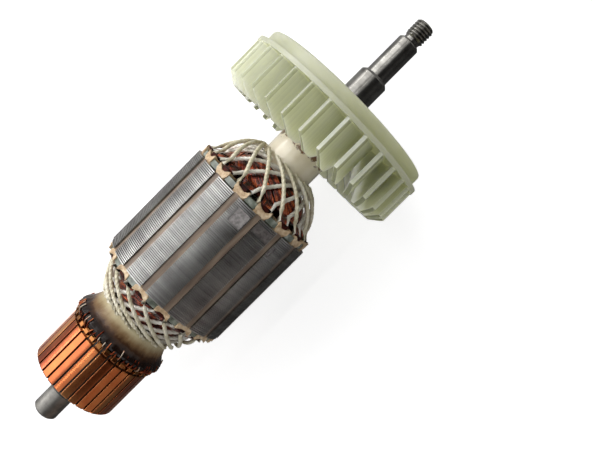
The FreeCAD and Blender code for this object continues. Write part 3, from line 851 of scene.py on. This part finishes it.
def on_head(head, share, height):
    """Point (x, radius) at a share of the way from shoulder to waist, at a height over the head."""
    centre, arc_r, a0, a1 = head
    a = a0 + (a1 - a0) * share
    return centre.x + (arc_r + height) * math.cos(a), centre.y + (arc_r + height) * math.sin(a)


rear_waist_r = 13.2 * mm
drive_head = head_outline("winding_head_drive", 1, bush_r, 1.7 * mm)
rear_head = head_outline("winding_head_rear", -1, rear_waist_r, 0.5 * mm)
print("Heads rise %.1f and %.1f mm" % (
    (extent("winding_head_drive")[1] - core_x1) / mm, (core_x0 - extent("winding_head_rear")[0]) / mm))

# %% [markdown]
# Lit wire shines only on its outermost line, and the gaps between wires lie in shade. The material paints
# both: it compares each face's normal with the way out of the whole head, and the ramp goes from painted
# black shade over red-brown to a painted copper highlight where the two agree.

# %% Enamelled wire and varnish
# Glossy red-brown wire, with a painted copper highlight along its crest and painted black shade on its
# flanks.
enamel, tree, shader = material(
    "enamelled_wire", Metallic=0.6, Roughness=0.22, Coat_Weight=0.6, Coat_Roughness=0.06)
away = vectors(tree, "NORMALIZE", vectors(tree, "MULTIPLY", place(tree), (0, 1, 1)))
leaning = fit(tree, place_x(tree), core_x0, core_x1, -0.6, 0.6)
lengthwise = add(tree, "ShaderNodeCombineXYZ", {"X": leaning})
outward = vectors(tree, "MULTIPLY_ADD", away, (0.8, 0.8, 0.8), lengthwise.outputs[0])
normal = add(tree, "ShaderNodeNewGeometry").outputs["Normal"]
# Painted light and shade: faces turned out of the head get a painted copper highlight, and faces turned
# aside get painted black shade.
painted_crest_light = vectors(tree, "DOT_PRODUCT", outward, normal)
varied = maths(tree, "MULTIPLY_ADD", tone(tree), 0.3, noise(tree, 300.0, 2.0))
level = fit(tree, maths(tree, "MULTIPLY_ADD", painted_crest_light, 0.9, varied), 1.12, 1.7)
paint(tree, shader, ramp(tree, level, [
    (0.0, "#0C0403"), (0.4, "#38100A"), (0.7, "#922A16"), (1.0, "#EE8048")]))

# Dark red-brown varnish, nearly dull, that also serves as painted shade: it goes near black on the dome
# between the wires and on the coil sides, which gives the winding its depth.
varnish_painted_shade = clouded("winding_varnish_painted_shade", 500.0, 4.0, [(0.4, "#1C0806"), (0.7, "#4E1C10")],
               Roughness=0.5, Specular_IOR_Level=0.1)

# %% Routes of the coil wires
wire_d = 0.8 * mm
wire_spacing = 1.15 * wire_d
slot_squeeze = 0.66
wires_in_bundle = 7
coil_span = 7 * slot_pitch
dome_sink, dome_inner_r = 1.5 * mm, 8.0 * mm
out_of_slot = [(2.6 * mm, 23.2 * mm), (4.1 * mm, 22.7 * mm), (5.0 * mm, 21.3 * mm)]
# Each tier of bundles has a sense, a height, a depth under it where a coil starts, the share of the
# head where it starts, and its lowest and highest peak.
tiers = [
    (1, -0.42 * mm, 3.2 * mm, 0.12, 0.6, 0.86),
    (-1, -1.25 * mm, 2.0 * mm, 0.1, 0.3, 0.5),
    (-1, -1.05 * mm, 0.4 * mm, 0.03, 0.1, 0.2)]


def coil_wire(head, side, slot, rank, tier, peak, wander):
    """Route of one wire of a coil, from its slot over the head to the slot seven teeth on."""
    sense, top, depth, foot = tier[:4]
    face = core_x1 if side > 0 else core_x0
    start_angle = (slot + 0.5) * slot_pitch
    end_angle = start_angle + sense * coil_span
    middle_rank = wires_in_bundle // 2
    across = (rank - middle_rank) * wire_spacing
    in_slot = slot_squeeze * across
    route = [around(face + side * out, r, start_angle + in_slot / r) for out, r in out_of_slot]
    count = 22
    for i in range(count + 1):
        u = i / count
        share = foot + (peak - foot + 0.035 * (middle_rank - rank)) * (1 - abs(2 * u - 1) ** 2.3)
        x, r = on_head(head, share, top + wander - depth * (1 - u))
        route.append(around(x, r, start_angle + sense * coil_span * u + across * (1 - 2 * u) / r))
    route += [around(face + side * out, r, end_angle - in_slot / r) for out, r in reversed(out_of_slot)]
    return route


def coil_ends(node, head, side, seed):
    """The wires of one winding head on a dome dark with painted shade, as one piece that stands for the
    CAD head.
    """
    chance = random.Random(seed)
    routes = []
    for tier in tiers:
        for slot in range(slot_count):
            peak = chance.uniform(tier[4], tier[5])
            for rank in range(wires_in_bundle):
                wander = chance.uniform(-0.05, 0.05) * mm
                routes.append(coil_wire(head, side, slot, rank, tier, peak, wander))
    wires = strands(node + "_wires", routes, wire_d, enamel, sides=8)
    outline = [on_head(head, i / 10, -dome_sink) for i in range(11)]
    outline += [(outline[-1][0], dome_inner_r), (outline[0][0], dome_inner_r)]
    dome = dress(lathe("dome", outline, sides=64), varnish_painted_shade)
    return join("coil_ends_" + node.split("_")[-1], [wires, dome])


drive_coils = coil_ends("winding_head_drive", drive_head, 1, 11)
rear_coils = coil_ends("winding_head_rear", rear_head, -1, 12)
print("Wire faces:", len(drive_coils.data.polygons), len(rear_coils.data.polygons))

# %% [markdown]
# ## The lacing
# Thick cotton cord is drawn over each head before varnishing, so that the wires can't fly out. The
# strands lie on the dome in two layers that cross. A tight cord takes the shortest way over a
# surface, and on a round one its radius times the cosine of its slope stays the same, so each
# route is worked out from that rule, as in the CAD model. At the rear waist the outer strands run
# on and sink into the resin, which has closed over them.

# %% Varnished lacing cord
def cord_material(name, low, mid, high):
    """Cotton cord that soaked up varnish: off-white, glossy in lines, with fibres and darker patches."""
    new, tree, shader = material(name, Roughness=0.5, Coat_Weight=0.55, Coat_Roughness=0.1)
    paint(tree, shader, ramp(tree, noise(tree, 240.0, 5.0), [(0.32, low), (0.5, mid), (0.7, high)]))
    bump(tree, shader, 0.5, 0.05 * mm, noise(tree, 3500.0, 3.0))
    return new


soaked_cord = cord_material("soaked_lacing_cord", "#BBB091", "#E2DABE", "#F7F2E2")
clean_cord = cord_material("clean_lacing_cord", "#CDC7B8", "#ECE8DC", "#FAF8F1")

# %% Routes of the lacing strands
cord_d = 1.8 * mm
# The drawn cord's mean thickness. Its lobes make it 1.6 mm across, a little under the CAD strand.
mean_d = 0.82 * cord_d
cord_lay = 5.2 * mm
cord_gap = 0.25 * mm
climb = [(1.2 * mm, 23.7 * mm), (3.6 * mm, 23.3 * mm)]
sink_length, sink_depth, sink_turn = 2.4 * mm, 3.0 * mm, math.radians(26)


def cord_routes(head, side, level, lean, limit, seed):
    """Sixteen strands of one lacing layer, from beside the fingers to the waist."""
    chance = random.Random(seed)
    height = cord_gap + cord_d / 2 + level * (cord_d + cord_gap)
    steps = 120
    profile = [on_head(head, i / steps, height) for i in range(steps + 1)]
    shoulder_x = on_head(head, 0, 0)[0]
    clear = cord_d / 2 + cord_gap
    profile = [(x, r) for x, r in profile if abs(x - shoulder_x) >= clear and limit(x, r)]
    waist_x, waist = profile[-1]
    room = slot_count * (cord_d + cord_gap / 2) / tau
    constant = math.sqrt(waist * waist - room * room)
    turns = [0.0]
    for (xa, ra), (xb, rb) in zip(profile, profile[1:]):
        r = (ra + rb) / 2
        way = math.hypot(xb - xa, rb - ra)
        turns.append(turns[-1] + constant * way / (r * math.sqrt(r * r - constant * constant)))
    beside = math.radians(4.0 if level else 6.5)
    face = core_x1 if side > 0 else core_x0
    sink = (0.25, 0.5, 0.75, 1.0) if side < 0 and level else ()
    routes = []
    for i in range(slot_count):
        start = slot_pitch * i - lean * beside + math.radians(chance.uniform(-1.2, 1.2))
        stretch = chance.uniform(0.94, 1.06)
        route = [around(face + side * out, r + level * mm, start) for out, r in climb]
        for k in list(range(9, len(profile), 3)) + [len(profile) - 1]:
            route.append(around(*profile[k], start + lean * turns[k] * stretch))
        for share in sink:
            x, r = waist_x + side * sink_length * share, waist - sink_depth * share ** 1.5
            route.append(around(x, r, start + lean * (turns[-1] * stretch + sink_turn * share)))
        routes.append(route)
    return routes


def over_bush(x, r):
    """Whether a strand at this place still clears the bush."""
    return r >= bush_r + cord_d / 2 + cord_gap / 2


def before_resin(x, r):
    """Whether a strand at this place hasn't reached the rear end of the winding."""
    return x >= extent("winding_head_rear")[0] + cord_d / 2 + cord_gap / 2


lacing = []
for node, head, side, level, lean, limit, finish in (
        ("lacing_drive_under", drive_head, 1, 0, 1, over_bush, clean_cord),
        ("lacing_drive_over", drive_head, 1, 1, -1, over_bush, soaked_cord),
        ("lacing_rear_under", rear_head, -1, 0, -1, before_resin, clean_cord),
        ("lacing_rear_over", rear_head, -1, 1, 1, before_resin, soaked_cord)):
    routes = cord_routes(head, side, level, lean, limit, 20 + level)
    piece = strands(node + "_cord", routes, mean_d, finish, sides=18, lobe_depth=0.1, lay=cord_lay)
    lacing.append((piece, node))
print("Lacing faces:", [len(piece.data.polygons) for piece, node in lacing])

# %% [markdown]
# ## The commutator
# Thirty-two drawn copper bars sit in a black phenolic moulding. The brushes have turned their
# outer face to a true cylinder, with fine rings and a browned track. Each bar ends in a hook, bent
# back over the coil wires and hot-staked onto them. One bar is modelled with its hook, its edges
# are rounded, and the first tree makes all thirty-two from it.

# %% Copper and phenolic
# Polished copper that mirrors the room in long lines, each bar in its own shade, brown at the hooks.
copper, tree, shader = material("commutator_copper", Metallic=1.0, Roughness=0.14)
hook_zone = 4.9 * mm
bar_front = bar_x1 - hook_zone
fine = noise(tree, 1.0, 3.0, stretch=(2600, 40, 40))
varied = maths(tree, "MULTIPLY_ADD", tone(tree), 0.6, noise(tree, 90.0, 3.0))
level = fit(tree, maths(tree, "MULTIPLY_ADD", fine, 0.12, varied), 0.15, 1.5)
bright = ramp(tree, level, [(0.25, "#8A4630"), (0.5, "#B8693F"), (0.75, "#D8945E")])
browned = fit(tree, place_x(tree), bar_front - 0.9 * mm, bar_front + 0.2 * mm)
paint(tree, shader, blend(tree, browned, bright, colour("#8E5E36")))
bump(tree, shader, 0.1, 0.01 * mm, fine)

# Black moulding with brown specks of its filler, satin between the bright bars.
phenolic = clouded("black_phenolic", 900.0, 5.0, [(0.35, "#0E0B09"), (0.6, "#1C1613"), (0.75, "#352B25")],
                   relief=(0.3, 0.08 * mm), Roughness=0.4)
dress(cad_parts["commutator_moulding"], phenolic)

# %% One bar with its hook
commutator_r = 18.2 * mm
bar_root_r = commutator_r - 4.7 * mm
separator_t = 0.7 * mm
base_r = commutator_r - 1.0 * mm
front_chamfer = 0.5 * mm
hook_half = 0.95 * mm


def bar_loop(x, outer_r, arc_steps=8):
    """Section of a bar at one place, from its flat root to its outer face."""
    half = bar_pitch / 2
    root = bar_root_r * math.tan(half) - separator_t / 2 / math.cos(half)
    reach = half - math.asin(separator_t / 2 / outer_r)
    loop = [Vector((x, root, bar_root_r)), Vector((x, -root, bar_root_r))]
    loop += [around(x, outer_r, reach - 2 * reach * i / arc_steps) for i in range(arc_steps + 1)]
    return loop


def bar_part(name, *places):
    """Solid through the bar's sections at some (x, outer radius) places."""
    return skin(name, [bar_loop(x, r) for x, r in places], smooth_below=None)


body = bar_part("bar", (bar_x0, commutator_r - front_chamfer), (bar_x0 + front_chamfer, commutator_r),
                (bar_front, commutator_r))
root = bar_part("root", (bar_front, base_r), (bar_x1, base_r))
hook_x = bar_front + 0.7 * mm
hook_path = [(0.0, -1.2), (0.0, 1.25), (0.45, 1.7), (1.7, 1.7), (2.4, 1.2), (2.5, 0.5),
             (1.9, 0.45), (1.75, 1.0), (0.75, 1.0), (0.7, -1.2)]
loops = [[Vector((hook_x + x * mm, y, base_r + z * mm)) for x, z in hook_path]
         for y in (-hook_half, hook_half)]
hook = skin("hook", loops, smooth_below=None)
bar = bevel(join("bar", [body, root, hook]), 0.13 * mm, angle=25)
bars = copies_round(bar, "commutator_bars", bar_count, copper, first=first_bar, seed=3)
print("Bars:", bar_count, "with", len(bars.data.polygons), "faces")

# %% [markdown]
# ## Resin and leads
# The leads run from the winding into the hooks, and resin is poured over them and cured on a
# turning fixture. It is thin and brown over the copper at the crown, and thick, cream and glossy
# at the neck. A lathe form gets low ridges over the leads and a lumpy surface, and the ramp in its
# material follows X.

# %% Cured resin
# Brown to cream resin, clouded and drawn out along the leads, with soft wet highlights.
resin, tree, shader = material("cured_resin", Roughness=0.24, IOR=1.5, Specular_IOR_Level=0.2)
cloud = noise(tree, 230.0, 5.0)
streak = noise(tree, 1.0, 3.0, stretch=(110, 800, 800))
share = fit(tree, place_x(tree), resin_x0, resin_x1, -0.22, 0.8)
varied = maths(tree, "MULTIPLY_ADD", cloud, 0.3, share)
level = maths(tree, "MULTIPLY_ADD", streak, 0.14, varied)
paint(tree, shader, ramp(tree, level, [
    (0.08, "#0C0604"), (0.3, "#1E100A"), (0.46, "#442C1B"),
    (0.6, "#7C6244"), (0.74, "#A08E6C"), (0.92, "#BCB190")]))
bump(tree, shader, 0.45, 0.5 * mm, cloud)

# %% Resin body
crown_x = moulding_x1
neck_r = rear_waist_r + 2.9 * mm
top_r = crown_r - 0.15 * mm
profile = [
    (resin_x0, top_r - 1.25 * mm),
    (resin_x0 + 0.5 * mm, top_r - 0.45 * mm),
    (crown_x, top_r),
    (crown_x + 1.3 * mm, top_r - 0.75 * mm),
    (crown_x + 3.0 * mm, top_r - 2.2 * mm),
    (crown_x + 4.8 * mm, neck_r + 0.7 * mm),
    (resin_x1 - 3.0 * mm, neck_r),
    (resin_x1 - 1.0 * mm, neck_r - 0.1 * mm),
    (resin_x1, neck_r - 0.4 * mm)]
ridge_height = 0.28 * mm
resin_inner_r = 12.0 * mm
parts = 4
loops = []
sides = bar_count * 6
random.seed(5)
lumps = [(random.uniform(0, tau), random.randint(2, 9), random.uniform(0.03, 0.1) * mm) for _ in range(6)]
for j in range(parts * (len(profile) - 1) + 1):
    k, part = divmod(j, parts)
    (xa, ra) = profile[k]
    (xb, rb) = profile[min(k + 1, len(profile) - 1)]
    x, r = xa + (xb - xa) * part / parts, ra + (rb - ra) * part / parts
    fade = max(0.0, 1 - max(0.0, x - crown_x) / (4 * mm))
    loop = []
    for i in range(sides):
        angle = tau * i / sides
        ridge = ridge_height * fade * (math.cos(bar_count * (angle - first_bar)) - 1) / 2
        lump = sum(size * (math.cos(count * angle + start + x * 900) - 1) for start, count, size in lumps)
        loop.append(around(x, r + ridge + lump / 2, angle))
    loops.append(loop)
loops += [[around(x, resin_inner_r, tau * i / sides) for i in range(sides)] for x in (resin_x1, resin_x0)]
resin_body = dress(skin("resin_body", loops, caps=False, smooth_below=50), resin)
print("Resin faces:", len(resin_body.data.polygons))

# %% Leads that show in the resin
# Bare lead wire, from burnt brown to copper and tinned grey, which gives the hooks' row its sparkle.
lead_copper, tree, shader = material("stripped_lead_wire", Metallic=1.0, Roughness=0.3)
level = maths(tree, "MULTIPLY_ADD", tone(tree), 0.5, noise(tree, 500.0, 3.0))
paint(tree, shader, ramp(tree, level, [
    (0.45, "#1E0B07"), (0.65, "#6A2A18"), (0.82, "#A8603C"), (0.95, "#A89C8C")]))
lead_d = 0.5 * mm
lead_foot = base_r + 0.7 * mm
random.seed(9)
routes = []
for i in range(bar_count):
    for lane in (-0.28, 0.28):
        length = random.uniform(1.2, 3.6) * mm
        drift = random.uniform(-0.05, 0.05)
        route = []
        for k in range(7):
            u = k / 6
            x = hook_x + 1.2 * mm + (length + 1.6 * mm) * u
            over = lead_foot + 2.0 * mm * min(1.0, 2.0 * u) - 1.1 * mm * u * u
            angle = first_bar + (i + lane) * bar_pitch + drift * u
            route.append(around(x, min(over, crown_r - 0.45 * mm), angle))
        routes.append(route)
leads = strands("leads", routes, lead_d, lead_copper, sides=6)
print("Leads:", len(routes))

# %% [markdown]
# ## Bush and collar
# A pale insulating bush fills the space between the winding and the fan, and a small collar stands
# behind the commutator. The collar is coloured dark grey-green as painted shade, so it shows as a
# thin dark line beside the bars. Both are plain turned rings with softened edges, so a lathe and a
# small bevel are enough, and a glossy coat gives the bush its narrow highlight.

# %% Plastic of the rings
# Cream plastic under a hard gloss, with ragged brown marks where the varnish ended by the fan.
cream, tree, shader = material("cream_bush_plastic", Roughness=0.3, Coat_Weight=1.0, Coat_Roughness=0.05)
clean = ramp(tree, noise(tree, 140.0, 6.0), [(0.3, "#E2D5B8"), (0.55, "#F0E5CB"), (0.8, "#F8F1DE")])
edge = fit(tree, place_x(tree), bush_x1 - 7.5 * mm, bush_x1 - 4.0 * mm, -0.16, 0.2)
soiled = maths(tree, "ADD", edge, noise(tree, 420.0, 4.0))
paint(tree, shader, blend(tree, fit(tree, soiled, 0.62, 0.7), clean, colour("#6E4A30")))

# Plain satin dark grey-green, painted shade on the collar, so that it closes the copper with a dark line.
collar_painted_shade = material("dark_collar_painted_shade", Base_Color=colour("#2E3431"), Roughness=0.4)[0]

# %% Two rings
rings = []
for node, inner_r, finish in (("drive_bush", 8.0 * mm, cream), ("rear_collar", 5.52 * mm, collar_painted_shade)):
    x0, x1, outer_r = extent(node)
    piece = lathe(node + "_ring", [(x0, inner_r), (x0, outer_r), (x1, outer_r), (x1, inner_r)], sides=96)
    rings.append((bevel(dress(piece, finish), 0.35 * mm, segments=3), node))
print("Rings:", [node for piece, node in rings])

# %% [markdown]
# ## The fan
# The fan is one moulding in natural, faintly green nylon, which lets some light through. Its disc
# has a stepped rim, and thirty curved blades stand on the side of the core. The wheel is a lathe
# form, one blade is a skin along its curve, and the first tree makes the rest. A Boolean joins
# them into one closed body, so that a bevel can round the rims and fill the blade roots.

# %% Natural nylon
# Milky green plastic that light soaks into. The blades' flanks get a paler colour as a painted glow of
# light through them, and the blades' narrow edges and the disc behind them a deeper one as painted shade.
nylon, tree, shader = material(
    "natural_nylon", Roughness=0.34, Subsurface_Weight=1.0, Subsurface_Scale=1.0, IOR=1.53)
shader.inputs["Subsurface Radius"].default_value = (0.012, 0.012, 0.008)
clean = ramp(tree, noise(tree, 60.0, 4.0), [(0.3, "#B2B59A"), (0.6, "#B9BBA1"), (0.8, "#C1C3AB")])
round_way = vectors(tree, "NORMALIZE", vectors(tree, "CROSS_PRODUCT", place(tree), (1, 0, 0)))
normal = add(tree, "ShaderNodeNewGeometry").outputs["Normal"]
painted_glow_mask = maths(tree, "ABSOLUTE", vectors(tree, "DOT_PRODUCT", round_way, normal))
# Painted shade behind the disc's front: faces there that turn aside get a darker colour, and the blade
# flanks get a pale painted glow.
rim = fit(tree, place_x(tree), fan_x1 - 7.4 * mm, fan_x1 - 7.0 * mm)
painted_edge_shade = blend(tree, rim, colour("#7C7F69"), clean)
paint(tree, shader, blend(tree, fit(tree, painted_glow_mask, 0.5, 0.85), painted_edge_shade, colour("#E8ECCA")))
bump(tree, shader, 0.12, 0.05 * mm, noise(tree, 900.0, 2.0))

# %% Wheel
step_x, disc_x = fan_x1 - 5.0 * mm, fan_x1 - 6.7 * mm
hub_r, step_r, cup_r = 11.5 * mm, 37.3 * mm, 34.7 * mm
hub_x0 = disc_x - 12.9 * mm
bore_r = body_r + 0.02 * mm
wheel = lathe("wheel", [
    (hub_x0, bore_r), (hub_x0, hub_r), (disc_x, hub_r), (disc_x, fan_r), (step_x, fan_r), (step_x, step_r),
    (fan_x1 - 1.0 * mm, step_r), (fan_x1 - 0.29 * mm, step_r - 0.29 * mm), (fan_x1, step_r - 1.0 * mm),
    (fan_x1, cup_r), (step_x, cup_r), (step_x, hub_r), (fan_x1, hub_r), (fan_x1, bore_r)], sides=180)
wheel.data.materials.append(nylon)

# %% [markdown]
# A blade is laid out by the same numbers as in the CAD model: how far it is swept back at each
# radius, and how far its free edge stands from the disc there.

# %% Blades
blade_t = 1.7 * mm
tip_r, mid_r, root_r = 39.2 * mm, 29.0 * mm, 17.0 * mm
root_sweep, mid_sweep = 29.5, 15.5
free_edge = [(root_r, 2.6), (root_r + 1.2 * mm, 3.2), (root_r + 4.8 * mm, 7.9), (31.4 * mm, 17.5),
             (34.4 * mm, 17.5), (tip_r, 13.9)]


def blade_angle(radius):
    """How far the blade is swept back at a radius, from none at the tip to its most at the root."""
    u = (tip_r - radius) / (tip_r - root_r)
    middle = (tip_r - mid_r) / (tip_r - root_r)
    bend = (mid_sweep - root_sweep * middle) / (middle * (1 - middle))
    return math.radians(root_sweep * u + bend * u * (1 - u))


def blade_end(radius):
    """Where the blade's free edge is at a radius: long near the tip, low at the root."""
    for (ra, la), (rb, lb) in zip(free_edge, free_edge[1:]):
        if radius <= rb:
            return disc_x - (la + (lb - la) * max(0.0, radius - ra) / (rb - ra)) * mm
    return disc_x - free_edge[-1][1] * mm


def below_rim(point):
    """The point itself, or pulled in towards the shaft so that no blade stands past the rim."""
    share = min(1.0, (fan_r - 0.2 * mm) / math.hypot(point.y, point.z))
    return Vector((point.x, point.y * share, point.z * share))


stations = [root_r + (tip_r - root_r) * i / 22 for i in range(23)]
stations = sorted(stations + [radius for radius, _ in free_edge[2:5]])
loops = []
for r in stations:
    here = around(0, r, blade_angle(r))
    ahead = around(0, r + 0.1 * mm, blade_angle(r + 0.1 * mm)) - here
    aside = Vector((0, -ahead.z, ahead.y)).normalized() * (blade_t / 2)
    held, free = Vector((disc_x + 0.4 * mm, 0, 0)), Vector((blade_end(r), 0, 0))
    corners = [here + aside + held, here + aside + free, here - aside + free, here - aside + held]
    loops.append([below_rim(corner) for corner in corners])
blade = skin("blade", loops, smooth_below=None)
blades = copies_round(blade, "blades", blade_count, nylon, first=math.radians(-7.7), seed=1)
cut_or_fuse(wheel, blades, "UNION", "INDEX")
fan = bevel(wheel, 0.6 * mm, segments=3, angle=40)
fan.name = "nylon_fan"
print("Fan faces:", len(fan.data.polygons))

# %% [markdown]
# ## Hand the pieces to the frame
# Every new piece stands for one or more CAD nodes and rides on the armature's only body. The
# sleeve, moulding and coil sides keep their CAD shape and only take a better material.

# %% Replace and ride
# The coil sides take the dark varnish whose colour is painted shade, and the sleeve takes the cream
# plastic.
for node, finish in (("coil_sides", varnish_painted_shade), ("shaft_sleeve", cream)):
    dress(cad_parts[node], finish)
resin_whole = join("lead_resin_body", [resin_body, leads])
dressed_pieces = [
    (shaft, ["shaft"], "ground_steel"),
    (core, ["lamination_stack"], "lamination_steel"),
    (strips, ["slot_wedges"], "wedge_strip"),
    (cuffs, ["slot_liners"], "slot_paper"),
    (drive_coils, ["winding_head_drive"], "enamelled_wire"),
    (rear_coils, ["winding_head_rear"], "enamelled_wire"),
    (resin_whole, ["lead_resin"], "resin"),
    (bars, ["commutator_bar_%02d" % (i + 1) for i in range(bar_count)], "copper"),
    (fan, ["fan"], "fan_nylon"),
]
dressed_pieces += [(piece, [node], "insulating_board") for piece, node in boards]
dressed_pieces += [(piece, [node], "lacing_cord") for piece, node in lacing]
dressed_pieces += [(piece, [node], "bush_plastic") for piece, node in rings]
for piece, nodes, slot_name in dressed_pieces:
    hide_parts(*nodes)
    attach(piece, "root")
print("Pieces:", len(dressed_pieces))
